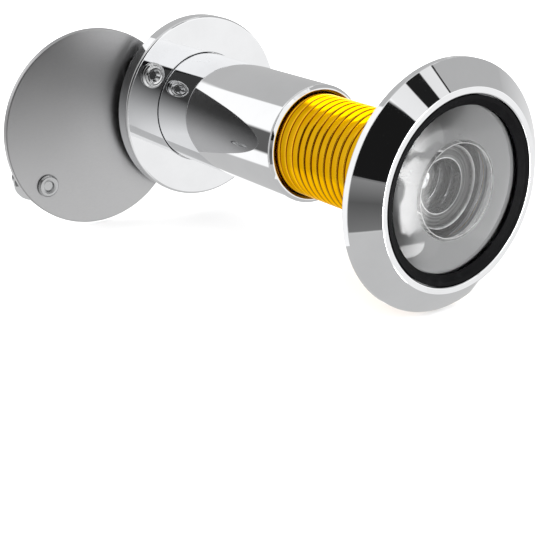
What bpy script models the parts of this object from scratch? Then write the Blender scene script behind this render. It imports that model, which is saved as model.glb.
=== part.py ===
"""Door viewer: wide-angle peephole in a bezel on a threaded barrel, inner sleeve with flange and swing cover.

Frame: metres, +Z up. The barrel's axis is Y, with the outdoor lens facing -Y and the room at +Y.
The origin is on that axis, in the plane where the bezel rests on the door's outer face.
Lathe profiles are lists of (radius, y) in millimetres.
"""

from math import ceil, cos, pi, radians, sin

import bmesh
import bpy

MM = 0.001
CLEAR = 0.12

# Door and screw thread
DOOR_GAP = 46.7
PITCH = 1.2
MALE_CREST = 6.42
MALE_ROOT = 5.88
FEMALE_CREST = 6.05
FEMALE_ROOT = 6.62
THREAD_SEGMENTS = 20
THREAD_FLAT = 0.2

# Outside half
BEZEL_RADIUS = 14.5
BEZEL_BAND = 1.0
RIM_RADIUS = 11.7
RIM_INNER = 10.9
BEZEL_HEIGHT = 3.35
BEZEL_FLOOR = -1.6
LIP_RADIUS = 5.35
LIP_THICKNESS = 0.55
COLLAR_HOLE = 6.85
GLASS_RADIUS = 10.5
GLASS_VIEW = 9.5
GLASS_EDGE_FRONT = -2.4
GLASS_APEX = -3.9
HOLLOW_RADIUS = 5.2
HOLLOW_DEPTH = 0.8
BARREL_END = 31.5
BARREL_BORE = 5.4
STACK_RADIUS = 5.28
SHOULDER_Y = 11.5
SHOULDER_BORE = 4.6

# Lens stack inside the barrel: front and back faces along the axis
STACK_BORE = 4.7
FRONT_RING = (-0.15, 0.48)
SECOND_LENS = (0.6, 3.0)
FRONT_SPACER = (3.12, 6.2)
THIRD_LENS = (6.32, 8.4)
REAR_SPACER = (8.52, 10.6)
BAFFLE_FRONT = 10.72
BAFFLE_BORE = 3.0

# Inside half
SLEEVE_MOUTH = 21.5
SLEEVE_RADIUS = 7.5
MOUTH_BORE = 6.62
MOUTH_FUNNEL = 0.32
MALE_START = 1.3
FEMALE_LEAD = 18
FEMALE_START = MALE_START + FEMALE_LEAD * PITCH
FEMALE_TURNS = 8
SEAT_Y = 45.6
SEAT_BORE = 5.0
SEAT_THICKNESS = 0.8
EYEPIECE_RIM = 0.9
EYEPIECE_RING_BORE = 5.3
EYEPIECE_POCKET = 6.3
FLANGE_RADIUS = 12.5
FLANGE_THICKNESS = 2.25
FLANGE_BORE = 7.62

# Swing cover
PIVOT_RADIUS = 9.8
PIVOT_ANGLE = radians(146.1)
COVER_ANGLE = radians(-136.8)
COVER_RADIUS = 13.2
COVER_GAP = 1.0
COVER_THICKNESS = 1.0
COVER_PIVOT = 9.8
KNOB_REACH = 20.1
KNOB_ANGLE = radians(-138.0)
PIVOT_SHANK = 0.85
PIVOT_HOLE = 1.0
PIVOT_HEAD = 1.7
KNOB_SHANK = 0.75
KNOB_HOLE = 0.9
KNOB_HEAD = 1.5
KNOB_RADIUS = 3.0
KNOB_FOOT = 2.3
KNOB_WAIST = 1.8
KNOB_SOCKET = 2.8
WASHER_BORE = 1.05
WASHER_RADIUS = 2.2
WASHER_THICKNESS = 0.3
KNOB_HEIGHT = 4.6

FLANGE_BACK = DOOR_GAP + FLANGE_THICKNESS
COVER_FRONT = FLANGE_BACK + COVER_GAP
COVER_BACK = COVER_FRONT + COVER_THICKNESS
PIVOT_X = PIVOT_RADIUS * cos(PIVOT_ANGLE)
PIVOT_Z = PIVOT_RADIUS * sin(PIVOT_ANGLE)
COVER_X = COVER_PIVOT * cos(COVER_ANGLE)
COVER_Z = COVER_PIVOT * sin(COVER_ANGLE)
KNOB_X = KNOB_REACH * cos(KNOB_ANGLE)
KNOB_Z = KNOB_REACH * sin(KNOB_ANGLE)


def clear_scene():
    for obj in list(bpy.data.objects):
        bpy.data.objects.remove(obj, do_unlink=True)


def material(name, colour, metallic, roughness, transmission=0.0):
    made = bpy.data.materials.new(name)
    made.use_nodes = True
    shader = made.node_tree.nodes["Principled BSDF"]
    shader.inputs["Base Color"].default_value = (*colour, 1.0)
    shader.inputs["Metallic"].default_value = metallic
    shader.inputs["Roughness"].default_value = roughness
    shader.inputs["Transmission Weight"].default_value = transmission
    made.diffuse_color = (*colour, 1.0)
    return made


def add_object(name, mesh_data, look, parent=None, location=(0.0, 0.0, 0.0)):
    obj = bpy.data.objects.new(name, mesh_data)
    bpy.context.scene.collection.objects.link(obj)
    obj.data.materials.append(look)
    obj.location = [value * MM for value in location]
    obj.parent = parent
    mesh_data.shade_smooth()
    mesh_data.set_sharp_from_angle(angle=radians(35))
    return obj


def add_pivot(name, location, parent=None):
    empty = bpy.data.objects.new(name, None)
    empty.empty_display_size = 0.005
    empty.location = [value * MM for value in location]
    empty.parent = parent
    bpy.context.scene.collection.objects.link(empty)
    return empty


def to_mesh(name, bm):
    bmesh.ops.remove_doubles(bm, verts=bm.verts, dist=1e-7)
    bmesh.ops.dissolve_degenerate(bm, edges=bm.edges, dist=1e-7)
    bmesh.ops.recalc_face_normals(bm, faces=bm.faces)
    data = bpy.data.meshes.new(name)
    bm.to_mesh(data)
    bm.free()
    return data


def lathe(name, profile, segments):
    """A profile of (radius, y) spun about Y. It closes on itself, or on the axis where its ends are there."""
    bm = bmesh.new()
    points = [bm.verts.new((radius * MM, y * MM, 0.0)) for radius, y in profile]
    edges = [bm.edges.new(pair) for pair in zip(points, points[1:])]
    if profile[0][0] > 0:
        edges.append(bm.edges.new((points[-1], points[0])))
    bmesh.ops.spin(
        bm,
        geom=points + edges,
        cent=(0.0, 0.0, 0.0),
        axis=(0.0, 1.0, 0.0),
        angle=2 * pi,
        steps=segments,
        use_merge=True,
    )
    return to_mesh(name, bm)


def arc(radius, y_rim, sagitta, steps):
    """Points of a spherical cap from its rim (radius, y_rim) to the axis, rising by sagitta along Y."""
    sphere = (radius * radius + sagitta * sagitta) / (2 * abs(sagitta))
    side = 1.0 if sagitta > 0 else -1.0
    centre = y_rim + sagitta - side * sphere
    found = []
    for step in range(steps + 1):
        r = radius * (1 - step / steps)
        found.append((r, centre + side * (sphere * sphere - r * r) ** 0.5))
    return found


def ring_row(radius, y, segments):
    found = []
    for step in range(segments + 1):
        angle = -2 * pi * (step % segments) / segments
        found.append((radius * cos(angle) * MM, y * MM, radius * sin(angle) * MM))
    return found


def thread_rows(y_start, y_end, inner, outer, is_male, segments):
    """Rows of points along a right-hand helix, cut off flat at both ends, where the thread runs out."""
    shape = [(0.0, outer), (THREAD_FLAT, outer), (0.5, inner), (0.5 + THREAD_FLAT, inner)]
    base = inner if is_male else outer
    rows = []
    turns = ceil((y_end - y_start) / PITCH - 0.001)
    for index in range(-4, 4 * turns + 1):
        turn_part, radius = shape[index % 4]
        row = []
        for step in range(segments + 1):
            y = y_start + (index // 4 + turn_part + step / segments) * PITCH
            y_cut = min(max(y, y_start), y_end)
            run_out = min(y_cut - y_start, y_end - y_cut) / (0.6 * PITCH)
            share = min(1.0, max(0.0, run_out))
            r = base + (radius - base) * share
            angle = -2 * pi * (step % segments) / segments
            row.append((r * cos(angle) * MM, y_cut * MM, r * sin(angle) * MM))
        rows.append(row)
    return rows


def rows_to_mesh(name, rows, segments):
    """Rows of equal point counts, joined one to the next and the last to the first; the seams merge."""
    bm = bmesh.new()
    grid = [[bm.verts.new(point) for point in row] for row in rows]
    count = len(grid)
    for index in range(count):
        here = grid[index]
        after = grid[(index + 1) % count]
        for step in range(segments):
            bm.faces.new((here[step], here[step + 1], after[step + 1], after[step]))
    return to_mesh(name, bm)


def drill(obj, name, radius, centre, y_from, y_to):
    """A round hole along Y through obj, at centre (x, z) in the frame of obj's parent."""
    bm = bmesh.new()
    bmesh.ops.create_cone(
        bm,
        cap_ends=True,
        segments=24,
        radius1=radius * MM,
        radius2=radius * MM,
        depth=(y_to - y_from) * MM,
    )
    data = bpy.data.meshes.new(name)
    bm.to_mesh(data)
    bm.free()
    cutter = bpy.data.objects.new(name, data)
    bpy.context.scene.collection.objects.link(cutter)
    cutter.parent = obj.parent
    cutter.location = (centre[0] * MM, (y_from + y_to) / 2 * MM, centre[1] * MM)
    cutter.rotation_euler = (pi / 2, 0.0, 0.0)
    cut_with(obj, cutter)


def slot(obj, name, width, length, y_from, y_to):
    """A straight slot across a ring's face, wide along Z and long along X."""
    bm = bmesh.new()
    bmesh.ops.create_cube(bm, size=1.0)
    bmesh.ops.scale(bm, vec=(length * MM, (y_to - y_from) * MM, width * MM), verts=bm.verts)
    data = bpy.data.meshes.new(name)
    bm.to_mesh(data)
    bm.free()
    cutter = bpy.data.objects.new(name, data)
    bpy.context.scene.collection.objects.link(cutter)
    cutter.parent = obj.parent
    cutter.location = (0.0, (y_from + y_to) / 2 * MM, 0.0)
    cut_with(obj, cutter)


def cut_with(obj, cutter):
    cutter.hide_render = True
    cutter.display_type = "WIRE"
    cut = obj.modifiers.new(cutter.name, "BOOLEAN")
    cut.operation = "DIFFERENCE"
    cut.solver = "EXACT"
    cut.object = cutter


def front_bezel(axis, look):
    profile = [
        (COLLAR_HOLE, 0.0),
        (BEZEL_RADIUS - 0.25, 0.0),
        (BEZEL_RADIUS, -0.25),
        (BEZEL_RADIUS, -BEZEL_BAND),
        (RIM_RADIUS, -BEZEL_HEIGHT + 0.12),
        (RIM_RADIUS - 0.14, -BEZEL_HEIGHT),
        (RIM_INNER + 0.12, -BEZEL_HEIGHT),
        (RIM_INNER, -BEZEL_HEIGHT + 0.12),
        (RIM_INNER, BEZEL_FLOOR),
        (LIP_RADIUS, BEZEL_FLOOR),
        (LIP_RADIUS, BEZEL_FLOOR + LIP_THICKNESS),
        (COLLAR_HOLE, BEZEL_FLOOR + LIP_THICKNESS),
    ]
    return add_object("front_bezel", lathe("front_bezel", profile, 48), look, axis)


def lens_gasket(axis, look):
    outer = RIM_INNER - CLEAR
    back = GLASS_EDGE_FRONT - CLEAR
    front = -BEZEL_HEIGHT + 0.1
    profile = [
        (outer, front),
        (outer, back),
        (GLASS_VIEW + 0.1, back),
        (GLASS_VIEW + 0.1, back - 0.15),
        (GLASS_VIEW + 0.8, front),
    ]
    return add_object("lens_gasket", lathe("lens_gasket", profile, 48), look, axis)


def objective_lens(axis, look):
    back = BEZEL_FLOOR - CLEAR
    hollow = arc(HOLLOW_RADIUS, back, -HOLLOW_DEPTH, 4)
    dome = arc(GLASS_VIEW, GLASS_EDGE_FRONT, GLASS_APEX - GLASS_EDGE_FRONT, 5)
    edge = [(GLASS_RADIUS, back), (GLASS_RADIUS, GLASS_EDGE_FRONT)]
    profile = hollow[::-1] + edge + dome
    return add_object("objective_lens", lathe("objective_lens", profile, 48), look, axis)


def threaded_barrel(axis, look):
    front = BEZEL_FLOOR + LIP_THICKNESS + CLEAR
    collar = COLLAR_HOLE - CLEAR
    count = THREAD_SEGMENTS
    rows = [ring_row(collar, front, count), ring_row(collar, 0.9, count)]
    rows += [ring_row(MALE_ROOT, 1.1, count)]
    rows += thread_rows(MALE_START, BARREL_END - 0.4, MALE_ROOT, MALE_CREST, True, count)
    inside = [
        (MALE_ROOT - 0.25, BARREL_END),
        (BARREL_BORE - 0.2, BARREL_END),
        (BARREL_BORE - 0.2, SHOULDER_Y + 1.8),
        (SHOULDER_BORE, SHOULDER_Y + 1.2),
        (SHOULDER_BORE, SHOULDER_Y),
        (BARREL_BORE, SHOULDER_Y),
        (BARREL_BORE, front),
    ]
    rows += [ring_row(radius, y, count) for radius, y in inside]
    return add_object("threaded_barrel", rows_to_mesh("threaded_barrel", rows, count), look, axis)


def slotted_ring(name, axis, look, outer, inner, y_from, y_to, slot_from, slot_to):
    bevel = 0.1
    profile = [
        (inner, y_from),
        (outer - bevel, y_from),
        (outer, y_from + bevel),
        (outer, y_to - bevel),
        (outer - bevel, y_to),
        (inner, y_to),
    ]
    ring = add_object(name, lathe(name, profile, 32), look, axis)
    slot(ring, name + "_slot", 0.9, 4 * outer, slot_from, slot_to)
    return ring


def second_lens(axis, look):
    front_y, back_y = SECOND_LENS
    front = arc(3.25, front_y, 0.8, 4)
    back = arc(3.6, back_y, -0.6, 3)
    profile = back[::-1] + [(STACK_RADIUS, back_y), (STACK_RADIUS, front_y)] + front
    return add_object("second_lens", lathe("second_lens", profile, 32), look, axis)


def third_lens(axis, look):
    front_y, back_y = THIRD_LENS
    back = arc(4.0, back_y, -0.9, 4)
    profile = back[::-1] + [(STACK_RADIUS, back_y), (STACK_RADIUS, front_y), (0.0, front_y)]
    return add_object("third_lens", lathe("third_lens", profile, 32), look, axis)


def plain_ring(name, axis, look, outer, inner, y_from, y_to, segments=32, location=(0, 0, 0)):
    profile = [(inner, y_from), (outer, y_from), (outer, y_to), (inner, y_to)]
    return add_object(name, lathe(name, profile, segments), look, axis, location)


def inner_sleeve(look):
    count = THREAD_SEGMENTS
    outside = [
        (SLEEVE_RADIUS - 0.5, SLEEVE_MOUTH),
        (SLEEVE_RADIUS - 0.12, SLEEVE_MOUTH + 0.12),
        (SLEEVE_RADIUS, SLEEVE_MOUTH + 0.4),
        (SLEEVE_RADIUS, FLANGE_BACK - 0.2),
        (EYEPIECE_POCKET, FLANGE_BACK - 0.2),
        (EYEPIECE_POCKET, SEAT_Y + SEAT_THICKNESS),
        (SEAT_BORE, SEAT_Y + SEAT_THICKNESS),
        (SEAT_BORE, SEAT_Y),
        (FEMALE_ROOT, SEAT_Y),
    ]
    rows = [ring_row(radius, y, count) for radius, y in outside]
    end = FEMALE_START + FEMALE_TURNS * PITCH
    rows += thread_rows(FEMALE_START, end, FEMALE_CREST, FEMALE_ROOT, False, count)[::-1]
    mouth = [
        (MOUTH_BORE, FEMALE_START - 0.1),
        (MOUTH_BORE, SLEEVE_MOUTH + MOUTH_FUNNEL),
        (MOUTH_BORE + MOUTH_FUNNEL, SLEEVE_MOUTH),
    ]
    rows += [ring_row(radius, y, count) for radius, y in mouth]
    return add_object("inner_sleeve", rows_to_mesh("inner_sleeve", rows, count), look)


def inner_flange(look):
    bevel = 0.3
    profile = [
        (FLANGE_BORE, DOOR_GAP),
        (FLANGE_RADIUS - bevel, DOOR_GAP),
        (FLANGE_RADIUS, DOOR_GAP + bevel),
        (FLANGE_RADIUS, FLANGE_BACK - bevel),
        (FLANGE_RADIUS - bevel, FLANGE_BACK),
        (FLANGE_BORE, FLANGE_BACK),
    ]
    flange = add_object("inner_flange", lathe("inner_flange", profile, 48), look)
    pivot = (PIVOT_X, PIVOT_Z)
    drill(flange, "flange_rivet_hole", PIVOT_HOLE, pivot, DOOR_GAP - 1, FLANGE_BACK + 1)
    return flange


def eyepiece_lens(look):
    seat = SEAT_Y + SEAT_THICKNESS + CLEAR
    rim = seat + EYEPIECE_RIM
    front = arc(SEAT_BORE - 0.15, seat, -0.7, 3)
    back = arc(SEAT_BORE + 0.15, rim, 0.85, 4)
    edge = EYEPIECE_POCKET - CLEAR
    profile = front[::-1] + [(edge, seat), (edge, rim)] + back
    return add_object("eyepiece_lens", lathe("eyepiece_lens", profile, 32), look)


def pivot_rivet(look):
    head = DOOR_GAP - CLEAR
    tail = COVER_BACK + 3 * CLEAR + WASHER_THICKNESS
    profile = [
        (0.0, head + 1.4),
        (0.5, head + 1.4),
        (0.55, head - 0.1),
        (0.95, head - 0.5),
        (1.35, head - 0.5),
        (PIVOT_HEAD, head - 0.22),
        (PIVOT_HEAD, head),
        (PIVOT_SHANK, head),
        (PIVOT_SHANK, tail),
        (1.5, tail),
        (1.5, tail + 0.2),
        (1.1, tail + 0.45),
        (0.0, tail + 0.45),
    ]
    place = (PIVOT_X, 0.0, PIVOT_Z)
    return add_object("pivot_rivet", lathe("pivot_rivet", profile, 24), look, None, place)


def wave_washer(look):
    count = 24
    middle = (FLANGE_BACK + COVER_FRONT) / 2
    rows = []
    for radius, half in ((WASHER_BORE, -1), (2.4, -1), (2.4, 1), (WASHER_BORE, 1)):
        row = []
        for step in range(count + 1):
            angle = 2 * pi * (step % count) / count
            y = middle + half * 0.12 + 0.18 * sin(3 * angle)
            row.append((radius * cos(angle) * MM, y * MM, radius * sin(angle) * MM))
        rows.append(row)
    place = (PIVOT_X, 0.0, PIVOT_Z)
    return add_object("pivot_wave_washer", rows_to_mesh("pivot_wave_washer", rows, count), look, None, place)


def cover_disc(pivot, look):
    bevel = 0.15
    profile = [
        (0.0, COVER_FRONT),
        (COVER_RADIUS - bevel, COVER_FRONT),
        (COVER_RADIUS, COVER_FRONT + bevel),
        (COVER_RADIUS, COVER_BACK - bevel),
        (COVER_RADIUS - bevel, COVER_BACK),
        (0.0, COVER_BACK),
    ]
    place = (COVER_X, 0.0, COVER_Z)
    disc = add_object("cover_disc", lathe("cover_disc", profile, 48), look, pivot, place)
    drill(disc, "cover_pivot_hole", PIVOT_HOLE, (0.0, 0.0), COVER_FRONT - 1, COVER_BACK + 1)
    knob = (KNOB_X, KNOB_Z)
    drill(disc, "cover_knob_hole", KNOB_HOLE, knob, COVER_FRONT - 1, COVER_BACK + 1)
    return disc


def knob_rivet(pivot, look):
    head = COVER_FRONT - CLEAR
    profile = [
        (0.0, head + 0.3),
        (0.6, head + 0.3),
        (0.75, head - 0.1),
        (0.95, head - 0.4),
        (1.25, head - 0.4),
        (KNOB_HEAD, head - 0.15),
        (KNOB_HEAD, head),
        (KNOB_SHANK, head),
        (KNOB_SHANK, COVER_BACK + 2.6),
        (0.0, COVER_BACK + 2.6),
    ]
    place = (KNOB_X, 0.0, KNOB_Z)
    return add_object("knob_rivet", lathe("knob_rivet", profile, 24), look, pivot, place)


def cover_knob(pivot, look):
    base = COVER_BACK + CLEAR
    top = base + KNOB_HEIGHT
    profile = [
        (0.0, base + KNOB_SOCKET),
        (KNOB_HOLE, base + KNOB_SOCKET),
        (KNOB_HOLE, base),
        (KNOB_FOOT, base),
        (KNOB_FOOT, base + 0.3),
        (KNOB_WAIST, base + 0.9),
        (KNOB_WAIST, base + 1.7),
        (KNOB_RADIUS, base + KNOB_SOCKET),
        (KNOB_RADIUS, top - 0.6),
        (KNOB_RADIUS - 0.5, top - 0.1),
        (KNOB_RADIUS - 1.2, top),
        (0.0, top),
    ]
    place = (KNOB_X, 0.0, KNOB_Z)
    return add_object("cover_knob", lathe("cover_knob", profile, 24), look, pivot, place)


def main():
    clear_scene()
    chrome = material("polished_chrome", (0.83, 0.84, 0.86), 1.0, 0.05)
    satin = material("satin_steel", (0.56, 0.56, 0.57), 1.0, 0.35)
    brass = material("yellow_brass", (0.95, 0.62, 0.04), 1.0, 0.18)
    rubber = material("black_rubber", (0.012, 0.012, 0.013), 0.0, 0.45)
    glass = material("lens_glass", (0.96, 0.98, 0.98), 0.0, 0.02, 1.0)
    dark = material("blackened_metal", (0.02, 0.02, 0.022), 1.0, 0.5)
    spring = material("spring_steel", (0.45, 0.45, 0.47), 1.0, 0.3)

    axis = add_pivot("barrel_axis", (0.0, 0.0, 0.0))
    front_bezel(axis, chrome)
    lens_gasket(axis, rubber)
    objective_lens(axis, glass)
    threaded_barrel(axis, brass)
    plain_ring("front_retaining_ring", axis, satin, STACK_RADIUS, STACK_BORE, *FRONT_RING)
    second_lens(axis, glass)
    plain_ring("lens_spacer_front", axis, dark, STACK_RADIUS, STACK_BORE, *FRONT_SPACER)
    third_lens(axis, glass)
    plain_ring("lens_spacer_rear", axis, dark, STACK_RADIUS, STACK_BORE, *REAR_SPACER)
    plain_ring("baffle_ring", axis, dark, STACK_RADIUS, BAFFLE_BORE, BAFFLE_FRONT, SHOULDER_Y - CLEAR)

    inner_sleeve(chrome)
    inner_flange(chrome)
    eyepiece_lens(glass)
    ring_y = SEAT_Y + SEAT_THICKNESS + EYEPIECE_RIM + 2 * CLEAR
    pocket = EYEPIECE_POCKET - CLEAR
    end = FLANGE_BACK - 0.15
    slotted_ring("eyepiece_retaining_ring", None, dark, pocket, EYEPIECE_RING_BORE, ring_y, end, end - 0.5, end + 1)
    pivot_rivet(chrome)
    wave_washer(spring)
    washer_y = COVER_BACK + CLEAR
    place = (PIVOT_X, 0.0, PIVOT_Z)
    washer_end = washer_y + WASHER_THICKNESS
    plain_ring("pivot_flat_washer", None, spring, WASHER_RADIUS, WASHER_BORE, washer_y, washer_end, 24, place)

    swing = add_pivot("cover_pivot", (PIVOT_X, 0.0, PIVOT_Z))
    cover_disc(swing, satin)
    knob_rivet(swing, chrome)
    cover_knob(swing, chrome)


main()
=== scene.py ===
"""Looks of the door viewer: fine lathe-turned chrome, brass thread, lens glass, rubber and satin steel.

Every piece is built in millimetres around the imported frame: the barrel's axis is Y, the outdoor lens
faces -Y, and sizes and places are read from the CAD nodes' boxes.
"""

from math import acos, cos, hypot, pi, radians, sin, sqrt, tan

import bmesh
import bpy
from mathutils import Matrix, Vector


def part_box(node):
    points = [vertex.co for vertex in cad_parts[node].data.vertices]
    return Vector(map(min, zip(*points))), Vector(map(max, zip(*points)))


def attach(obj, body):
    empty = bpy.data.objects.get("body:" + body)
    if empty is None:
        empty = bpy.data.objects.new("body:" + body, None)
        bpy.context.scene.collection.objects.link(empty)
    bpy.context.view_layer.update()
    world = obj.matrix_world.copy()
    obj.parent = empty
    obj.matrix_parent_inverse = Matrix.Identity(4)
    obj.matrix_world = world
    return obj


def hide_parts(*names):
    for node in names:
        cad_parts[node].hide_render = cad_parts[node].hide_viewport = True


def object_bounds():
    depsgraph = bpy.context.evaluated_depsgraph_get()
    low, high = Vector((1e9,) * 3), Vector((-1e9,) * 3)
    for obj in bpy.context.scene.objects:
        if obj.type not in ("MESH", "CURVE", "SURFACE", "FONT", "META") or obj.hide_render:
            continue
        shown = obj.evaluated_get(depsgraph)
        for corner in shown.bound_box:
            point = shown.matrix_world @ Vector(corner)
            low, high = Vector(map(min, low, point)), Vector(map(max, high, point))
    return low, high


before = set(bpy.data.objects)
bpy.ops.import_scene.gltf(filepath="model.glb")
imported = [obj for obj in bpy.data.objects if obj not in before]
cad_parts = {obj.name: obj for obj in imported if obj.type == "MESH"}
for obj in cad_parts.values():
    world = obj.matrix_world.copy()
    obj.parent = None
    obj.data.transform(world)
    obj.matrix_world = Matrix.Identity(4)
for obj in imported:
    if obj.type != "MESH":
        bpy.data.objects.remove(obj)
cad_box = [list(corner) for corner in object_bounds()]

MM = 0.001

# Fineness of the turned surfaces: segments round them, and steps along fillets and caps
AROUND = 192
AROUND_INNER = 128
AROUND_SMALL = 72
FILLET_STEPS = 5
DOME_STEPS = 22
LENS_STEPS = 12
# Where a profile bends by less than this, it is shaded as one smooth surface
SOFT_BEND = radians(12.0)

# Gap between neighbouring pieces, and tolerance for picking faces by their place
GAP = 0.12
NEAR = 0.01

# Screw thread
PITCH = 1.2
THREAD_AROUND = 96
THREAD_RUN_OUT = 0.7
# The barrel's thread: (share of a pitch, radius), from one root to the next
MALE_SHAPE = [
    (0.0, 6.20), (0.04, 6.20), (0.10, 6.33), (0.14, 6.39), (0.19, 6.415), (0.30, 6.42),
    (0.74, 6.42), (0.82, 6.405), (0.87, 6.36), (0.92, 6.27), (0.96, 6.21),
]

# Camera: place in millimetres, bearing and dip in degrees, nearest and furthest seen in metres
CAMERA_PLACE = (-94.61, -93.38, 40.89)
CAMERA_BEARING = 37.4
CAMERA_DIP = 21.3
CAMERA_LENS = 80.8
CAMERA_SENSOR = 36.0
CAMERA_REACH = (0.005, 20.0)

# Studio: the floor in metres, and the light of the surround by what looks at it
FLOOR_SIZE = 4.0
FLOOR_DROP = 0.0004
BACKDROP_LIGHT = 1.0
DIFFUSE_LIGHT = 2.3
SURROUND_LIGHT = 1.15
# Panels round the object, each over the ones before it: azimuth from and to (0 is -Y, 90 is +X),
# elevation from and to, softness, all in degrees, and its light, or its light at the foot and the top.
PANELS = [
    (-180, 180, -95, -31, 1.0, 0.585),
    (-62, -6, -31, -11, 0.8, (0.2, 0.105)),
    (-62, -6, -12, 3.2, 0.4, (0.105, 0.27)),
    (-62, -6, 3, 44, 0.8, 0.011),
    (15, 75, -31, 4, 3.0, (0.92, 1.08)),
    (-134, -64, -31, 60, 4.0, 0.5),
    (-152, -124, -16, 11, 2.0, 0.12),
    (-6, 47, 40, 60, 0.7, (0.98, 0.84)),
    (12, 30, 38, 56, 0.7, 0.015),
    (85, 135, -16, 16, 1.0, (0.88, 0.5)),
    (46, 130, 14, 58, 0.8, 0.5),
    (44, 46, 30, 58, 0.3, 0.02),
    (135, 200, -20, 58, 1.0, 0.53),
    (-200, -165, 34, 58, 1.0, 0.53),
    (-180, 180, 62, 95, 4.0, 0.7),
]


# ---------------------------------------------------------------- meshes

def span(node):
    """(outer radius, lowest y, highest y, centre x, centre z) of a round CAD node, in millimetres."""
    low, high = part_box(node)
    low, high = low / MM, high / MM
    return (high.x - low.x) / 2, low.y, high.y, (high.x + low.x) / 2, (high.z + low.z) / 2


def rounded(points):
    """Stations (r, y, normal before, normal after) of a closed profile, and whether it meets the axis.

    The profile's points are (r, y), or (r, y, fillet radius) where a corner is rounded.
    """
    pts = [(p[0], p[1], p[2] if len(p) > 2 else 0.0) for p in points]
    area = sum(a[0] * b[1] - b[0] * a[1] for a, b in zip(pts, pts[1:] + pts[:1]))
    if area < 0:
        pts.reverse()
    on_axis = sum(1 for p in pts if p[0] == 0.0) >= 2
    if on_axis:
        while not (pts[0][0] == 0.0 and pts[-1][0] == 0.0):
            pts = pts[1:] + pts[:1]
    count = len(pts)
    stations = []
    for i, (r, y, fillet) in enumerate(pts):
        before, after = pts[i - 1], pts[(i + 1) % count]
        u = Vector((r - before[0], y - before[1])).normalized()
        v = Vector((after[0] - r, after[1] - y)).normalized()
        n_u, n_v = Vector((u.y, -u.x)), Vector((v.y, -v.x))
        if on_axis and i == 0:
            n_u = n_v
        if on_axis and i == count - 1:
            n_v = n_u
        turn = acos(max(-1.0, min(1.0, u.dot(v))))
        if fillet <= 0.0 or turn < 0.02:
            stations.append((r, y, n_u, n_v))
            continue
        cut = fillet * tan(turn / 2)
        start = Vector((r, y)) - u * cut
        side = 1.0 if u.x * v.y - u.y * v.x > 0 else -1.0
        centre = start - n_u * fillet * side
        for step in range(FILLET_STEPS + 1):
            a = turn * step / FILLET_STEPS * side
            n = Vector((n_u.x * cos(a) - n_u.y * sin(a), n_u.x * sin(a) + n_u.y * cos(a)))
            spot = centre + n * fillet * side
            stations.append((spot.x, spot.y, n, n))
    return stations, on_axis


def cap(radius, y_rim, rise, steps):
    """Points (r, y) of a spherical cap, from its rim to the axis, rising by rise along Y."""
    sphere = (radius * radius + rise * rise) / (2 * abs(rise))
    side = 1.0 if rise > 0 else -1.0
    centre = y_rim + rise - side * sphere
    return [
        (radius * (1 - s / steps), centre + side * sqrt(sphere ** 2 - (radius * (1 - s / steps)) ** 2))
        for s in range(steps + 1)
    ]


def smooth_bends(stations):
    """Where a profile bends only softly, both sides share one normal."""
    made = []
    for r, y, before, after in stations:
        if before.dot(after) > cos(SOFT_BEND):
            shared = (before + after).normalized()
            before = after = shared
        made.append((r, y, before, after))
    return made


def new_object(name, points, faces, normals=None):
    """A smooth mesh object from points in millimetres, with a normal for each face corner if given."""
    mesh = bpy.data.meshes.new(name)
    mesh.from_pydata([[v * MM for v in p] for p in points], [], faces)
    mesh.validate()
    mesh.shade_smooth()
    if normals:
        mesh.normals_split_custom_set(normals)
    mesh.update()
    obj = bpy.data.objects.new(name, mesh)
    bpy.context.scene.collection.objects.link(obj)
    return obj


def turned(name, profile, segments=AROUND, centre=(0.0, 0.0)):
    """A solid of revolution about an axis along Y at centre (x, z), with exact normals."""
    stations, on_axis = rounded(profile)
    stations = smooth_bends(stations)
    cx, cz = centre
    points, index = [], []
    for r, y, _, _ in stations:
        if r < 1e-6:
            index.append([len(points)] * segments)
            points.append((cx, y, cz))
            continue
        index.append(list(range(len(points), len(points) + segments)))
        for s in range(segments):
            a = 2 * pi * s / segments
            points.append((cx + r * cos(a), y, cz + r * sin(a)))
    faces, normals = [], []
    pairs = list(range(len(stations) - 1)) + ([] if on_axis else [len(stations) - 1])
    for j in pairs:
        k = (j + 1) % len(stations)
        out_j, in_k = stations[j][3], stations[k][2]
        for s in range(segments):
            t = (s + 1) % segments
            around = (
                (index[j][s], out_j, s),
                (index[k][s], in_k, s),
                (index[k][t], in_k, t),
                (index[j][t], out_j, t),
            )
            corners = []
            for vertex, n, step in around:
                if not corners or (vertex != corners[-1][0] and vertex != corners[0][0]):
                    corners.append((vertex, n, step))
            if len(corners) < 3:
                continue
            faces.append([c[0] for c in corners])
            for _, n, step in corners:
                a = 2 * pi * step / segments
                normals.append((n.x * cos(a), n.y, n.x * sin(a)))
    return new_object(name, points, faces, normals)


def helix_rows(y_start, y_end, shape):
    """Rows along a right-hand helix. shape is a list of (share of a pitch, radius), base radius first."""
    base = shape[0][1]
    turns = int((y_end - y_start) / PITCH + 0.999)
    rows = []
    for index in range(-len(shape), len(shape) * turns + 1):
        share, radius = shape[index % len(shape)]
        row = []
        for step in range(THREAD_AROUND + 1):
            y = y_start + (index // len(shape) + share + step / THREAD_AROUND) * PITCH
            y_cut = min(max(y, y_start), y_end)
            from_end = min(y_cut - y_start, y_end - y_cut)
            height = min(1.0, max(0.0, from_end / (THREAD_RUN_OUT * PITCH)))
            row.append((base + (radius - base) * height, y_cut, -2 * pi * step / THREAD_AROUND))
        rows.append(row)
    return rows


def ring_row(radius, y):
    """One plain row of (radius, y, angle) round the axis."""
    return [(radius, y, -2 * pi * step / THREAD_AROUND) for step in range(THREAD_AROUND + 1)]


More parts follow.
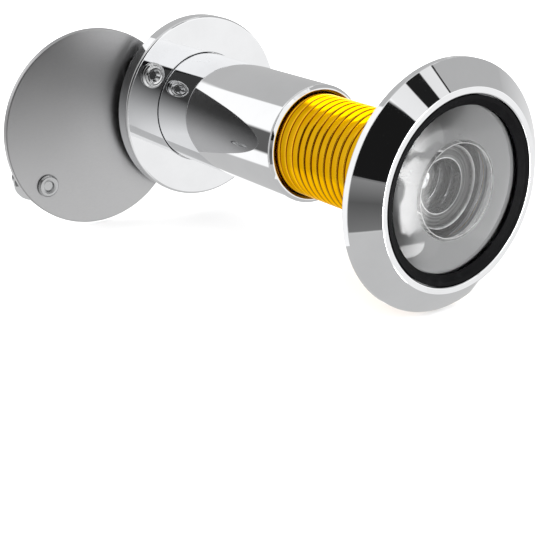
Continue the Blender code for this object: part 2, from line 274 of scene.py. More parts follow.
def swept(name, rows):
    """A closed solid through rows of (radius, y, angle), the last row joined to the first."""
    points, faces = [], []
    for row in rows:
        points += [(r * cos(a), y, r * sin(a)) for r, y, a in row]
    width = len(rows[0])
    for j in range(len(rows)):
        k = (j + 1) % len(rows)
        for s in range(width - 1):
            faces.append((j * width + s, j * width + s + 1, k * width + s + 1, k * width + s))
    obj = new_object(name, points, faces)
    bm = bmesh.new()
    bm.from_mesh(obj.data)
    bmesh.ops.remove_doubles(bm, verts=bm.verts, dist=2e-7)
    bmesh.ops.dissolve_degenerate(bm, edges=bm.edges, dist=1e-8)
    bmesh.ops.recalc_face_normals(bm, faces=bm.faces)
    bm.to_mesh(obj.data)
    bm.free()
    obj.data.shade_smooth()
    obj.data.set_sharp_from_angle(angle=radians(38))
    return obj


def paint_where(obj, look, test):
    """Gives look to the faces whose middle (radius, y), in millimetres, passes test."""
    obj.data.materials.append(look)
    index = len(obj.data.materials) - 1
    for face in obj.data.polygons:
        middle = face.center / MM
        if test(hypot(middle.x, middle.z), middle.y):
            face.material_index = index


def finish_piece(obj, body, look, node):
    """Gives obj its look, and lets it ride on its body in the place of its CAD node."""
    obj.data.materials.clear()
    obj.data.materials.append(look)
    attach(obj, body)
    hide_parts(node)
    return obj


# ---------------------------------------------------------------- materials

class Graph:
    """A short way to write node trees."""

    def __init__(self, tree):
        self.tree = tree

    def node(self, kind, **settings):
        made = self.tree.nodes.new(kind)
        for key, value in settings.items():
            setattr(made, key, value)
        return made

    def put(self, node, name, value):
        """Links a socket to an input, or sets the input to a number or colour."""
        socket = node.inputs[name]
        if isinstance(value, bpy.types.NodeSocket):
            self.tree.links.new(value, socket)
        else:
            socket.default_value = value

    def math(self, operation, a, b=0.0):
        made = self.node("ShaderNodeMath", operation=operation)
        self.put(made, 0, a)
        self.put(made, 1, b)
        return made.outputs[0]

    def step(self, value, low, high, to_low=0.0, to_high=1.0, kind="SMOOTHSTEP"):
        """Runs from to_low to to_high while value runs from low to high, and stays level outside."""
        made = self.node("ShaderNodeMapRange", interpolation_type=kind)
        inputs = ("Value", "From Min", "From Max", "To Min", "To Max")
        for name, number in zip(inputs, (value, low, high, to_low, to_high)):
            self.put(made, name, number)
        return made.outputs[0]

    def mix(self, share, a, b, kind="RGBA"):
        """Runs from a to b with share."""
        made = self.node("ShaderNodeMix", data_type=kind)
        first = {"FLOAT": 2, "RGBA": 6}[kind]
        self.put(made, 0, share)
        self.put(made, first, a)
        self.put(made, first + 1, b)
        return made.outputs[{"FLOAT": 0, "RGBA": 2}[kind]]

    def noise(self, vector, scale, detail=3.0, rough=0.5):
        made = self.node("ShaderNodeTexNoise")
        self.put(made, "Vector", vector)
        for name, value in (("Scale", scale), ("Detail", detail), ("Roughness", rough)):
            made.inputs[name].default_value = value
        return made.outputs[0]


def new_material(name):
    """A material, its graph, its shader, and the place on the object in metres."""
    made = bpy.data.materials.new(name)
    made.use_nodes = True
    graph = Graph(made.node_tree)
    shader = made.node_tree.nodes["Principled BSDF"]
    place = graph.node("ShaderNodeTexCoord").outputs["Object"]
    return made, graph, shader, place


def bump(graph, shader, height, distance, strength):
    made = graph.node("ShaderNodeBump")
    made.inputs["Strength"].default_value = strength
    made.inputs["Distance"].default_value = distance
    graph.put(made, "Height", height)
    graph.put(shader, "Normal", made.outputs[0])


def stretched(graph, place, factors):
    """The place scaled along X, Y and Z; a small factor draws a pattern out along its axis."""
    made = graph.node("ShaderNodeMapping")
    graph.put(made, "Vector", place)
    made.inputs["Scale"].default_value = factors
    return made.outputs[0]


def rgba(colour, share=1.0):
    """A colour as a socket takes it, at a share of its strength."""
    return (*(c * share for c in colour), 1.0)


def chrome(name, colour, rough):
    """Polished chrome with a faint haze, and hairlines drawn out along Y."""
    made, g, shader, place = new_material(name)
    shader.inputs["Metallic"].default_value = 1.0
    haze = g.noise(place, scale=160.0, detail=4.0, rough=0.6)
    g.put(shader, "Base Color", g.mix(g.step(haze, 0.35, 0.7), rgba(colour), rgba(colour, 0.965)))
    smear = g.noise(place, scale=420.0, detail=5.0, rough=0.65)
    g.put(shader, "Roughness", g.step(smear, 0.35, 0.75, *rough))
    hairs = g.noise(stretched(g, place, (1.0, 0.12, 1.0)), scale=5200.0, detail=2.0)
    bump(g, shader, hairs, distance=2e-7, strength=0.35)
    return made


def satin(name, colour, rough):
    """Steel with a fine even satin grain, slightly drawn out across the disc."""
    grain_share = 0.35
    made, g, shader, place = new_material(name)
    shader.inputs["Metallic"].default_value = 1.0
    grain = g.noise(stretched(g, place, (0.35, 1.0, 1.0)), scale=5200.0, detail=4.0, rough=0.65)
    cloud = g.noise(place, scale=70.0)
    fine = g.math("MULTIPLY", grain, grain_share)
    coarse = g.math("MULTIPLY", cloud, 1 - grain_share)
    tone = g.math("ADD", fine, coarse)
    g.put(shader, "Base Color", g.mix(g.step(tone, 0.35, 0.65), rgba(colour, 0.93), rgba(colour)))
    g.put(shader, "Roughness", g.step(tone, 0.3, 0.7, *rough))
    bump(g, shader, grain, distance=3e-7, strength=0.5)
    return made


def steel(name, colour, rough):
    """Plain machined steel with a mottled tone."""
    made, g, shader, place = new_material(name)
    shader.inputs["Metallic"].default_value = 1.0
    mottle = g.noise(place, scale=900.0, detail=5.0, rough=0.7)
    g.put(shader, "Base Color", g.mix(g.step(mottle, 0.35, 0.7), rgba(colour), rgba(colour, 0.8)))
    g.put(shader, "Roughness", g.step(mottle, 0.3, 0.75, rough - 0.06, rough + 0.08))
    bump(g, shader, g.noise(place, scale=6000.0), distance=1.5e-6, strength=0.5)
    return made


def brass(name, colour):
    """Bright yellow brass, a little redder where it has aged."""
    made, g, shader, place = new_material(name)
    shader.inputs["Metallic"].default_value = 1.0
    shader.inputs["Specular Tint"].default_value = (1.0, 0.72, 0.05, 1.0)
    mottle = g.noise(place, scale=420.0, detail=4.0, rough=0.6)
    aged = (colour[0] * 0.96, colour[1] * 0.86, colour[2] * 0.7, 1.0)
    g.put(shader, "Base Color", g.mix(g.step(mottle, 0.3, 0.72), rgba(colour), aged))
    wear = g.noise(place, scale=1500.0, detail=4.0)
    g.put(shader, "Roughness", g.step(wear, 0.3, 0.75, 0.16, 0.27))
    bump(g, shader, g.noise(place, scale=4200.0, detail=4.0, rough=0.6), distance=3e-6, strength=0.5)
    return made


def rubber():
    """Black rubber with a trace of dust."""
    black, dusty = (0.0025, 0.0025, 0.003), (0.008, 0.008, 0.0085)
    made, g, shader, place = new_material("gasket_rubber")
    shader.inputs["Specular IOR Level"].default_value = 0.06
    dust = g.noise(place, scale=700.0, detail=5.0, rough=0.7)
    g.put(shader, "Base Color", g.mix(g.step(dust, 0.5, 0.8), rgba(black), rgba(dusty)))
    g.put(shader, "Roughness", g.step(dust, 0.3, 0.75, 0.42, 0.6))
    bump(g, shader, g.noise(place, scale=3800.0, detail=4.0), distance=4e-6, strength=0.6)
    return made


def glass():
    """Clear lens glass with a faint smear."""
    made, g, shader, place = new_material("coated_glass")
    shader.inputs["Base Color"].default_value = (0.985, 0.99, 0.99, 1.0)
    shader.inputs["Transmission Weight"].default_value = 1.0
    shader.inputs["IOR"].default_value = 1.52
    smear = g.noise(place, scale=240.0, detail=4.0, rough=0.6)
    g.put(shader, "Roughness", g.step(smear, 0.45, 0.85, 0.0, 0.025))
    return made


def from_axis(g, x, z):
    """The distance of (x, z) from the axis."""
    return g.math("SQRT", g.math("ADD", g.math("MULTIPLY", x, x), g.math("MULTIPLY", z, z)))


def ground_glass():
    """The frosted rim of a lens, with fine rings left by grinding."""
    dark, pale = (0.2, 0.2, 0.2), (0.46, 0.46, 0.46)
    metres_a_radian = 0.00012
    made, g, shader, place = new_material("ground_glass")
    axes = g.node("ShaderNodeSeparateXYZ")
    g.put(axes, 0, place)
    x, _, z = axes.outputs
    ringed = g.node("ShaderNodeCombineXYZ")
    g.put(ringed, 0, from_axis(g, x, z))
    g.put(ringed, 1, g.math("MULTIPLY", g.math("ARCTAN2", x, z), metres_a_radian))
    rings = g.noise(ringed.outputs[0], scale=5200.0, rough=0.6)
    g.put(shader, "Base Color", g.mix(g.step(rings, 0.35, 0.65), rgba(dark), rgba(pale)))
    g.put(shader, "Roughness", g.step(rings, 0.3, 0.7, 0.3, 0.45))
    bump(g, shader, rings, distance=1e-5, strength=0.4)
    return made


def blackened():
    """Metal blackened against stray light."""
    deep, worn = (0.012, 0.012, 0.013), (0.03, 0.03, 0.032)
    made, g, shader, place = new_material("blackened_metal_finish")
    shader.inputs["Metallic"].default_value = 0.6
    mottle = g.noise(place, scale=1100.0, detail=5.0, rough=0.7)
    g.put(shader, "Base Color", g.mix(g.step(mottle, 0.35, 0.75), rgba(deep), rgba(worn)))
    g.put(shader, "Roughness", g.step(mottle, 0.3, 0.75, 0.38, 0.55))
    bump(g, shader, g.noise(place, scale=5000.0), distance=2e-6, strength=0.5)
    return made


CHROME = chrome("chrome", (0.86, 0.865, 0.875), (0.015, 0.05))
RIVET_CHROME = chrome("rivet_chrome", (0.78, 0.785, 0.79), (0.05, 0.13))
DULL_CHROME = chrome("dull_chrome", (0.56, 0.565, 0.57), (0.2, 0.3))
SATIN = satin("satin_steel_finish", (0.53, 0.53, 0.535), (0.30, 0.36))
SEAT = satin("seat_finish", (0.36, 0.36, 0.365), (0.26, 0.34))
NICKEL = chrome("nickel_bore", (0.62, 0.62, 0.63), (0.06, 0.14))
# Dull brownish steel for the bore just inside the sleeve's mouth: painted shade
MOUTH_SHADE = steel("mouth_painted_shade", (0.36, 0.31, 0.22), 0.3)
LIP_STEEL = steel("lip_steel", (0.95, 0.95, 0.95), 0.42)
RING_STEEL = steel("ring_steel", (0.62, 0.62, 0.63), 0.3)
SPRING = steel("spring_steel_finish", (0.5, 0.5, 0.51), 0.3)
BRASS = brass("thread_brass", (0.98, 0.55, 0.014))
# Darker brass for the thread's roots: painted shade in the grooves
GROOVE_SHADE = brass("thread_groove_painted_shade", (0.42, 0.17, 0.012))
RUBBER = rubber()
GLASS = glass()
GROUND = ground_glass()
SMOKED = steel("smoked_steel", (0.03, 0.03, 0.03), 0.35)
INSIDE = steel("inside_steel", (0.18, 0.18, 0.18), 0.3)
BLACK = blackened()


# ---------------------------------------------------------------- outside half

def front_bezel():
    """Cone-faced ring: thin band at its back, rounded rim round the glass, flat seat and lip inside."""
    radius, front, back, _, _ = span("front_bezel")
    band = 1.0
    rim_out, rim_in, hole, lip = radius - 2.8, radius - 3.6, 6.85, 5.35
    lip_round, lip_height = 0.22, 0.55
    floor = span("objective_lens")[2] + GAP
    profile = [
        (hole, back),
        (radius, back, 0.25),
        (radius, back - band, 0.12),
        (rim_out, front, 0.22),
        (rim_in, front, 0.2),
        (rim_in, floor),
        (lip + lip_round, floor, 0.05),
        (lip, floor + lip_round),
        (lip, floor + lip_height),
        (hole, floor + lip_height),
    ]
    bezel = finish_piece(turned("bezel", profile), "outer_unit", CHROME, "front_bezel")
    paint_where(bezel, SEAT, lambda r, y: r < rim_in - NEAR and y < back - 0.5)
    paint_where(bezel, LIP_STEEL, lambda r, y: lip - NEAR < r < lip + 0.3 and y < floor + 0.3)


def lens_gasket():
    """Rubber ring under the bezel's rim, its inner edge slanting in towards the back."""
    radius, front, back, _, _ = span("lens_gasket")
    inner = radius - 1.18
    slant, foot = 0.7, 0.15
    profile = [
        (radius, front, 0.08),
        (radius, back),
        (inner, back),
        (inner, back - foot, 0.06),
        (inner + slant, front, 0.1),
    ]
    finish_piece(turned("gasket", profile), "lens_carriage", RUBBER, "lens_gasket")


def objective_lens():
    """Domed in front and hollow behind, with a thin bright ring round the hollow."""
    radius, apex, back, _, _ = span("objective_lens")
    view, edge, ledge = 9.5, back - 0.68, 0.02
    hollow, depth, ring = 5.2, 0.78, 0.12
    profile = cap(hollow, back, -depth, DOME_STEPS)[::-1]
    profile += [(hollow + ring, back), (radius, back, 0.12), (radius, edge), (view + ledge, edge)]
    profile += cap(view, edge, apex - edge, DOME_STEPS)
    turned_lens = turned("objective", profile)
    lens = finish_piece(turned_lens, "lens_carriage", GLASS, "objective_lens")
    paint_where(lens, LIP_STEEL, lambda r, y: hollow < r < hollow + ring and y > back - NEAR)


def second_lens():
    """Hollow on both faces, with a frosted front rim and a thin bright ring inside it."""
    radius, front, back, _, _ = span("second_lens")
    front_hollow, back_hollow, ring = 3.25, 3.6, 3.4
    profile = cap(back_hollow, back, -0.6, LENS_STEPS)[::-1]
    profile += [(radius, back, 0.1), (radius, front, 0.1), (ring, front)]
    profile += cap(front_hollow, front, 0.8, LENS_STEPS)
    turned_lens = turned("lens_two", profile, AROUND_INNER)
    lens = finish_piece(turned_lens, "lens_carriage", GLASS, "second_lens")
    rim = front + 2 * NEAR
    paint_where(lens, GROUND, lambda r, y: r > ring and y < rim)
    paint_where(lens, LIP_STEEL, lambda r, y: front_hollow < r < ring and y < rim)


def third_lens():
    """Flat in front and hollow behind."""
    radius, front, back, _, _ = span("third_lens")
    profile = cap(4.0, back, -0.9, LENS_STEPS)[::-1]
    profile += [(radius, back, 0.1), (radius, front, 0.1), (0.0, front)]
    lens = turned("lens_three", profile, AROUND_INNER)
    finish_piece(lens, "lens_carriage", GLASS, "third_lens")


def eyepiece_lens():
    """Domed on both faces."""
    radius, front, _, _, _ = span("eyepiece_lens")
    dome, thickness = 0.7, 0.9
    rim = front + dome
    profile = cap(4.85, rim, -dome, LENS_STEPS)[::-1]
    profile += [(radius, rim, 0.08), (radius, rim + thickness, 0.08)]
    profile += cap(5.15, rim + thickness, 0.85, LENS_STEPS)
    lens = turned("lens_eyepiece", profile, AROUND_INNER)
    finish_piece(lens, "inner_unit", GLASS, "eyepiece_lens")


def threaded_barrel():
    """Brass tube: a collar in the bezel, a helical thread outside, and a shoulder behind the lens stack."""
    _, front, end, _, _ = span("threaded_barrel")
    collar, root, bore = 6.73, MALE_SHAPE[0][1], 5.4
    shoulder, shoulder_bore, rear_bore = 11.5, 4.6, bore - 0.2
    collar_end, root_start, thread_start, thread_end = 0.9, 1.1, 1.3, end - 0.4
    rows = [ring_row(collar, front), ring_row(collar, collar_end), ring_row(root, root_start)]
    rows += helix_rows(thread_start, thread_end, MALE_SHAPE)
    inside = [
        (root - 0.2, end - 0.1), (root - 0.3, end), (bore - 0.12, end), (rear_bore, end - 0.1),
        (rear_bore, shoulder + 1.8), (shoulder_bore, shoulder + 1.2), (shoulder_bore, shoulder),
        (bore, shoulder), (bore, front),
    ]
    rows += [ring_row(r, y) for r, y in inside]
    barrel = finish_piece(swept("barrel", rows), "outer_unit", BRASS, "threaded_barrel")
    paint_where(barrel, NICKEL, lambda r, y: r < bore + 0.05)
    # Paints the thread's roots with the darker brass: painted shade in the grooves
    paint_where(barrel, GROOVE_SHADE, lambda r, y: root - 0.05 < r < root + 0.14 and 1.2 < y < end - 0.3)


def lens_rings():
    """The two spacers of the lens stack, and the baffle at the barrel's shoulder."""
    for name, node, bore, look in (
        ("spacer_front", "lens_spacer_front", 4.7, INSIDE),
        ("spacer_rear", "lens_spacer_rear", 4.7, INSIDE),
        ("baffle", "baffle_ring", 3.0, BLACK),
    ):
        radius, front, back, _, _ = span(node)
        profile = [(bore, front, 0.05), (radius, front, 0.08), (radius, back, 0.08), (bore, back, 0.05)]
        finish_piece(turned(name, profile, AROUND_INNER), "lens_carriage", look, node)


def front_ring():
    """The ring that holds the lens stack in: a dull face and a bright rounded edge round its bore."""
    radius, front, back, _, _ = span("front_retaining_ring")
    bore, edge = 4.7, 0.3
    bright = bore + 0.75 * edge
    profile = [(bore, front, edge), (radius, front, 0.05), (radius, back, 0.08), (bore, back, 0.06)]
    turned_ring = turned("ring_front", profile)
    ring = finish_piece(turned_ring, "outer_unit", RING_STEEL, "front_retaining_ring")
    paint_where(ring, LIP_STEEL, lambda r, y: r < bright and y < front + edge)
    paint_where(ring, SMOKED, lambda r, y: r > bright and y < front + edge)


# ---------------------------------------------------------------- inside half

def inner_sleeve():
    """Chrome tube with a rounded mouth, a band in place of its inside thread, and the eyepiece's pocket."""
    radius, mouth, back, _, _ = span("inner_sleeve")
    bore, crest, seat_bore, pocket = 6.62, 6.52, 5.0, 6.3
    thread_start, thread_end, seat_front, seat_back = 22.9, 32.5, 45.6, 46.4
    funnel, edge = 0.32, 0.42
    profile = [
        (bore + funnel, mouth, 0.02),
        (radius - edge, mouth, 0.25),
        (radius, mouth + edge, 0.4),
        (radius, back, 0.1),
        (pocket, back, 0.1),
        (pocket, seat_back), (seat_bore, seat_back), (seat_bore, seat_front), (bore, seat_front),
        (bore, thread_end), (crest, thread_end), (crest, thread_start),
        (bore, thread_start - 0.05), (bore, mouth + funnel, 0.1),
    ]
    tube = turned("sleeve", profile)
    sleeve = finish_piece(tube, "inner_unit", CHROME, "inner_sleeve")
    # Paints the bore inside the mouth darker and brownish: painted shade
    paint_where(sleeve, MOUTH_SHADE, lambda r, y: r < bore + 0.2 and y < thread_start)


def inner_flange():
    """Chrome disc round the sleeve's end. It has no hole for the pivot rivet, which passes through it."""
    radius, front, back, _, _ = span("inner_flange")
    bore = 7.56
    profile = [(bore, front, 0.12), (radius, front, 0.35), (radius, back, 0.35), (bore, back, 0.1)]
    finish_piece(turned("flange", profile), "inner_unit", CHROME, "inner_flange")


def pivot_rivet():
    """Rivet with a hollow rimmed head on the flange, and its end turned over outside the cover."""
    _, _, back, x, z = span("pivot_rivet")
    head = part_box("inner_flange")[0].y / MM - GAP
    head_radius, shank, tail_radius, tail_height = 1.7, 0.85, 1.5, 0.45
    tail = back - tail_height
    profile = [
        (0.0, head + 1.4), (0.35, head + 1.3), (0.6, head + 0.1, 0.1), (0.85, head - 0.42, 0.15),
        (1.15, head - 0.5, 0.12), (1.3, head - 0.30, 0.06), (1.45, head - 0.36, 0.08),
        (head_radius, head - 0.16, 0.1), (head_radius, head), (shank, head), (shank, tail),
        (tail_radius, tail), (tail_radius, tail + 0.3, 0.15), (1.0, tail + tail_height, 0.2),
        (0.0, tail + tail_height),
    ]
    obj = turned("rivet_pivot", profile, AROUND_SMALL, (x, z))
    finish_piece(obj, "inner_unit", RIVET_CHROME, "pivot_rivet")


def flat_washer():
    """Plain washer under the pivot rivet's turned-over end."""
    radius, front, back, x, z = span("pivot_flat_washer")
    bore = 1.05
    profile = [(bore, front, 0.04), (radius, front, 0.06), (radius, back, 0.06), (bore, back, 0.04)]
    obj = turned("washer_flat", profile, AROUND_SMALL, (x, z))
    finish_piece(obj, "inner_unit", SPRING, "pivot_flat_washer")


def wave_washer():
    """A thin spring washer with three waves."""
    _, front, back, x, z = span("pivot_wave_washer")
    around, waves = 96, 3
    middle, half, wave = (front + back) / 2, 0.11, 0.18
    rows = []
    for radius, side in ((1.05, -1), (2.34, -1), (2.4, -0.5), (2.4, 0.5), (2.34, 1), (1.05, 1)):
        row = []
        for s in range(around + 1):
            sway = wave * sin(waves * 2 * pi * s / around)
            row.append((radius, middle + side * half + sway, -2 * pi * s / around))
        rows.append(row)
    obj = swept("washer_wave", rows)
    obj.data.transform(Matrix.Translation((x * MM, 0.0, z * MM)))
    finish_piece(obj, "inner_unit", SPRING, "pivot_wave_washer")


def eyepiece_ring():
    """A retaining ring with a screwdriver slot across its outer face."""
    radius, front, back, _, _ = span("eyepiece_retaining_ring")
    bore, slot_width, slot_from, slot_to = 5.3, 0.9, back - 0.5, back + 1
    profile = [(bore, front, 0.06), (radius, front, 0.08), (radius, back, 0.08), (bore, back, 0.06)]
    ring = turned("ring_eyepiece", profile, AROUND_INNER)
    slot_size = (4 * radius * MM, (slot_to - slot_from) * MM, slot_width * MM)
    bm = bmesh.new()
    bmesh.ops.create_cube(bm, size=1.0)
    bmesh.ops.scale(bm, vec=slot_size, verts=bm.verts)
    bmesh.ops.translate(bm, vec=(0.0, (slot_from + slot_to) / 2 * MM, 0.0), verts=bm.verts)
    data = bpy.data.meshes.new("ring_eyepiece_cutter")
    bm.to_mesh(data)
    bm.free()
    cutter = bpy.data.objects.new("ring_eyepiece_cutter", data)
    bpy.context.scene.collection.objects.link(cutter)
    cut = ring.modifiers.new("slot", "BOOLEAN")
    cut.operation = "DIFFERENCE"
    cut.solver = "EXACT"
    cut.object = cutter
    graph = bpy.context.evaluated_depsgraph_get()
    cut_mesh = bpy.data.meshes.new_from_object(ring.evaluated_get(graph))
    ring.modifiers.clear()
    ring.data = cut_mesh
    bpy.data.objects.remove(cutter)
    ring.data.shade_smooth()
    ring.data.set_sharp_from_angle(angle=radians(30))
    finish_piece(ring, "inner_unit", BLACK, "eyepiece_retaining_ring")


# ---------------------------------------------------------------- cover

def cover_disc():
    """Satin disc. It has no holes for the rivets, which pass through it."""
    radius, front, back, x, z = span("cover_disc")
    profile = [(0.0, front), (radius, front, 0.18), (radius, back, 0.25), (0.0, back)]
    obj = turned("cover", profile, AROUND, (x, z))
    finish_piece(obj, "cover", SATIN, "cover_disc")


def knob_rivet():
    """Rivet with a dished head on the cover's door side, which holds the knob."""
    _, _, back, x, z = span("knob_rivet")
    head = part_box("cover_disc")[0].y / MM - GAP
    head_radius, shank = 1.5, 0.75
    profile = [
        (0.0, head - 0.02), (0.62, head - 0.02, 0.05), (0.75, head - 0.26, 0.08), (1.0, head - 0.36, 0.1),
        (1.28, head - 0.36, 0.12), (head_radius, head - 0.12, 0.08), (head_radius, head),
        (shank, head), (shank, back), (0.0, back),
    ]
    obj = turned("rivet_knob", profile, AROUND_SMALL, (x, z))
    finish_piece(obj, "cover", DULL_CHROME, "knob_rivet")


def cover_knob():
    """Small waisted knob with a socket for its rivet."""
    radius, base, top, x, z = span("cover_knob")
    foot, waist, bore, socket = 2.3, 1.8, 0.9, 2.8
    profile = [
        (0.0, base + socket), (bore, base + socket), (bore, base),
        (foot, base, 0.08), (foot, base + 0.35, 0.15),
        (waist, base + 0.95, 0.3), (waist, base + 1.7, 0.35),
        (radius, base + socket, 0.3), (radius, top - 0.9, 0.5),
        (radius - 0.7, top - 0.15, 0.8), (0.0, top),
    ]
    obj = turned("knob", profile, AROUND_SMALL, (x, z))
    finish_piece(obj, "cover", CHROME, "cover_knob")


# ---------------------------------------------------------------- camera and studio

def camera():
    data = bpy.data.cameras.new("camera")
    data.lens = CAMERA_LENS
    data.sensor_width = CAMERA_SENSOR
    data.clip_start, data.clip_end = CAMERA_REACH
    obj = bpy.data.objects.new("camera", data)
    obj.location = [v * MM for v in CAMERA_PLACE]
    a, b = radians(CAMERA_BEARING), radians(CAMERA_DIP)
    forward = Vector((sin(a) * cos(b), cos(a) * cos(b), -sin(b)))
    obj.rotation_euler = forward.to_track_quat("-Z", "Y").to_euler()
    bpy.context.scene.collection.objects.link(obj)
    bpy.context.scene.camera = obj


def card(name, y, faces, corners, light_of, through_glass=False):
    """A glowing card across Y, seen only in reflections, or only through glass, and only from its front.

    Its corners (x, z) run anticlockwise as seen from -Y, and light_of gives its light at a place on it.
    """
    order = corners if faces == "-Y" else corners[::-1]
    mesh = bpy.data.meshes.new(name)
    mesh.from_pydata([(x * MM, y * MM, z * MM) for x, z in order], [], [range(len(order))])
    obj = bpy.data.objects.new(name, mesh)
    bpy.context.scene.collection.objects.link(obj)
    obj.visible_camera = obj.visible_diffuse = obj.visible_shadow = False
    obj.visible_glossy, obj.visible_transmission = not through_glass, through_glass
    look = bpy.data.materials.new(name)
    look.use_nodes = True
    look.node_tree.nodes.clear()
    g = Graph(look.node_tree)
    place = g.node("ShaderNodeSeparateXYZ")
    g.put(place, 0, g.node("ShaderNodeTexCoord").outputs["Object"])
    glow = g.node("ShaderNodeEmission")
    x, _, z = (g.math("MULTIPLY", socket, 1 / MM) for socket in place.outputs)
    g.put(glow, "Strength", light_of(g, x, z))
    one_sided = g.node("ShaderNodeMixShader")
    g.put(one_sided, 0, g.node("ShaderNodeNewGeometry").outputs["Backfacing"])
    g.put(one_sided, 1, glow.outputs[0])
    g.put(one_sided, 2, g.node("ShaderNodeBsdfTransparent").outputs[0])
    out = g.node("ShaderNodeOutputMaterial")
    g.put(out, "Surface", one_sided.outputs[0])
    mesh.materials.append(look)


def between(g, value, low, high, soft):
    """1 where value lies between low and high, with soft edges, and 0 outside."""
    rise = g.step(value, low - soft, low + soft)
    fall = g.step(value, high - soft, high + soft, 1.0, 0.0)
    return g.math("MULTIPLY", rise, fall)


def soft_box(g, x, z, x_range, z_range, soft, level):
    """A glowing rectangle with soft edges."""
    inside = g.math("MULTIPLY", between(g, x, *x_range, soft), between(g, z, *z_range, soft))
    return g.math("MULTIPLY", inside, level)


def cover_light(g, x, z):
    """What the cover shows: pale below, dark above and far to the left."""
    down = g.step(z, -14.0, 9.0, 0.95, 0.05, "LINEAR")
    near = g.step(x, -42.0, -29.0, 0.2, 1.0, "LINEAR")
    return g.math("MULTIPLY", down, near)


def window_light(g, x, z):
    """Soft bent windows, which the lens shows as pale blobs at its left."""
    here = g.node("ShaderNodeCombineXYZ")
    g.put(here, 0, x)
    g.put(here, 1, z)
    sway_size, lean_size, surround = 7.0, 6.0, 1.0
    sway = g.math("SUBTRACT", g.noise(here.outputs[0], scale=0.16, detail=1.0), 0.5)
    across = g.math("ADD", x, g.math("MULTIPLY", sway, sway_size))
    lean = g.math("SUBTRACT", g.noise(here.outputs[0], scale=0.21, detail=1.0), 0.5)
    up = g.math("ADD", z, g.math("MULTIPLY", lean, lean_size))
    upper = soft_box(g, across, up, (-4.2, 7.0), (6.4, 12.5), soft=0.7, level=14.0)
    lower = soft_box(g, across, up, (-5.0, 3.2), (-14.0, 4.6), soft=0.8, level=13.0)
    fade = g.step(x, -4.0, 5.0, 1.0, 0.15)
    light = g.math("MULTIPLY", g.math("ADD", upper, lower), fade)
    floor_glow = soft_box(g, across, z, (-2.5, 4.5), (-22.5, -17.5), soft=0.7, level=8.0)
    return g.math("MAXIMUM", g.math("ADD", light, floor_glow), surround)


def thread_light(g, x, z):
    """What the thread shows: a bright softbox above, a dim surround at the side and a paler one below."""
    bright, dim, pale, beside_mouth = 2.6, 0.72, 0.98, 0.6
    across = g.math("SUBTRACT", x, g.math("MULTIPLY", z, 0.204))
    light = g.step(across, -4.3, -3.5, dim, bright)
    height = g.math("ADD", z, g.math("MULTIPLY", x, 0.25))
    light = g.mix(g.step(height, 0.0, 1.0, 1.0, 0.0), light, dim, "FLOAT")
    below = g.math("SUBTRACT", z, g.math("MULTIPLY", x, 0.964))
    below = g.math("MULTIPLY", g.step(below, 4.4, 5.4, 1.0, 0.0), g.step(z, -2.0, -1.0, 1.0, 0.0))
    light = g.mix(below, light, pale, "FLOAT")
    close = g.step(from_axis(g, x, z), 7.6, 8.4, 1.0, 0.0)
    beside = g.math("MULTIPLY", close, g.step(x, -3.0, -1.5, 1.0, 0.0))
    return g.mix(beside, light, beside_mouth, "FLOAT")


def even(level):
    """The same light all over a card."""
    return lambda g, x, z: level


def oblong(x_from, x_to, z_from, z_to):
    return [(x_from, z_from), (x_to, z_from), (x_to, z_to), (x_from, z_to)]


def cards():
    """The cards round the object, in millimetres."""
    card("cover_card", 30.0, "+Y", oblong(-64.0, -7.7, -45.0, 34.0), cover_light)
    round_barrel = [(-25, -13), (-14, -22), (21, -22), (21, 5), (16, 19), (12, 24), (-14, 24), (-25, 14)]
    card("thread_card", 21.4, "-Y", round_barrel, thread_light)
    card("band_card", 25.0, "-Y", oblong(-46.0, -25.5, -26.0, 26.0), even(1.1))
    card("mouth_card", 18.0, "+Y", oblong(-11.0, 11.0, -11.0, 11.0), even(1.05))
    card("window_card", -20.0, "+Y", oblong(-9.0, 12.0, -25.0, 17.0), window_light)
    card("eyepiece_card", 80.0, "-Y", oblong(-40.0, 40.0, -40.0, 40.0), even(1.8), through_glass=True)


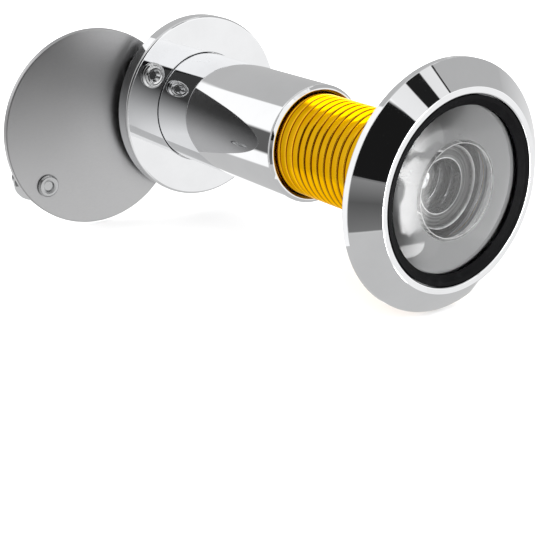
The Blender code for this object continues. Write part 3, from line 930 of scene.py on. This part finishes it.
def floor():
    """A plain pale floor under the object, which its polished surfaces do not show."""
    dull, pale = (0.87, 0.87, 0.87), (0.89, 0.89, 0.89)
    bottom = cad_box[0][2]
    bpy.ops.mesh.primitive_plane_add(size=FLOOR_SIZE, location=(0.0, 0.0, bottom - FLOOR_DROP))
    obj = bpy.context.object
    obj.name = "floor"
    look, g, shader, place = new_material("floor_paint")
    g.put(shader, "Base Color", g.mix(g.noise(place, scale=30.0), rgba(dull), rgba(pale)))
    shader.inputs["Roughness"].default_value = 0.9
    shader.inputs["Specular IOR Level"].default_value = 0.0
    obj.data.materials.append(look)
    obj.visible_glossy = False
    obj.visible_transmission = False


def surround():
    """A white backdrop and soft light, with the dark flags and softboxes that polished metal shows."""
    world = bpy.data.worlds.new("studio")
    bpy.context.scene.world = world
    world.use_nodes = True
    world.cycles.sampling_method = "NONE"
    world.node_tree.nodes.clear()
    g = Graph(world.node_tree)
    way = g.node("ShaderNodeSeparateXYZ")
    g.put(way, 0, g.node("ShaderNodeTexCoord").outputs["Generated"])
    x, y, z = way.outputs
    azimuth = g.math("MULTIPLY", g.math("ARCTAN2", x, g.math("MULTIPLY", y, -1.0)), 180 / pi)
    height = g.math("MULTIPLY", g.math("ARCSINE", z), 180 / pi)
    light = SURROUND_LIGHT
    for az_from, az_to, el_from, el_to, soft, level in PANELS:
        mask = between(g, height, el_from, el_to, soft)
        if az_to - az_from < 360:
            mask = g.math("MULTIPLY", mask, between(g, azimuth, az_from, az_to, soft))
        if isinstance(level, tuple):
            level = g.step(height, el_from, el_to, *level, "LINEAR")
        light = g.mix(mask, light, level, "FLOAT")
    paths = g.node("ShaderNodeLightPath")
    light = g.mix(paths.outputs["Is Diffuse Ray"], light, DIFFUSE_LIGHT, "FLOAT")
    light = g.mix(paths.outputs["Is Camera Ray"], light, BACKDROP_LIGHT, "FLOAT")
    back = g.node("ShaderNodeBackground")
    g.put(back, "Color", light)
    out = g.node("ShaderNodeOutputWorld")
    g.put(out, "Surface", back.outputs[0])


front_bezel()
lens_gasket()
objective_lens()
second_lens()
third_lens()
eyepiece_lens()
threaded_barrel()
inner_sleeve()
inner_flange()
pivot_rivet()
cover_disc()
knob_rivet()
cover_knob()
lens_rings()
flat_washer()
front_ring()
eyepiece_ring()
wave_washer()
camera()
floor()
cards()
surround()
bpy.context.scene.view_settings.view_transform = "Standard"
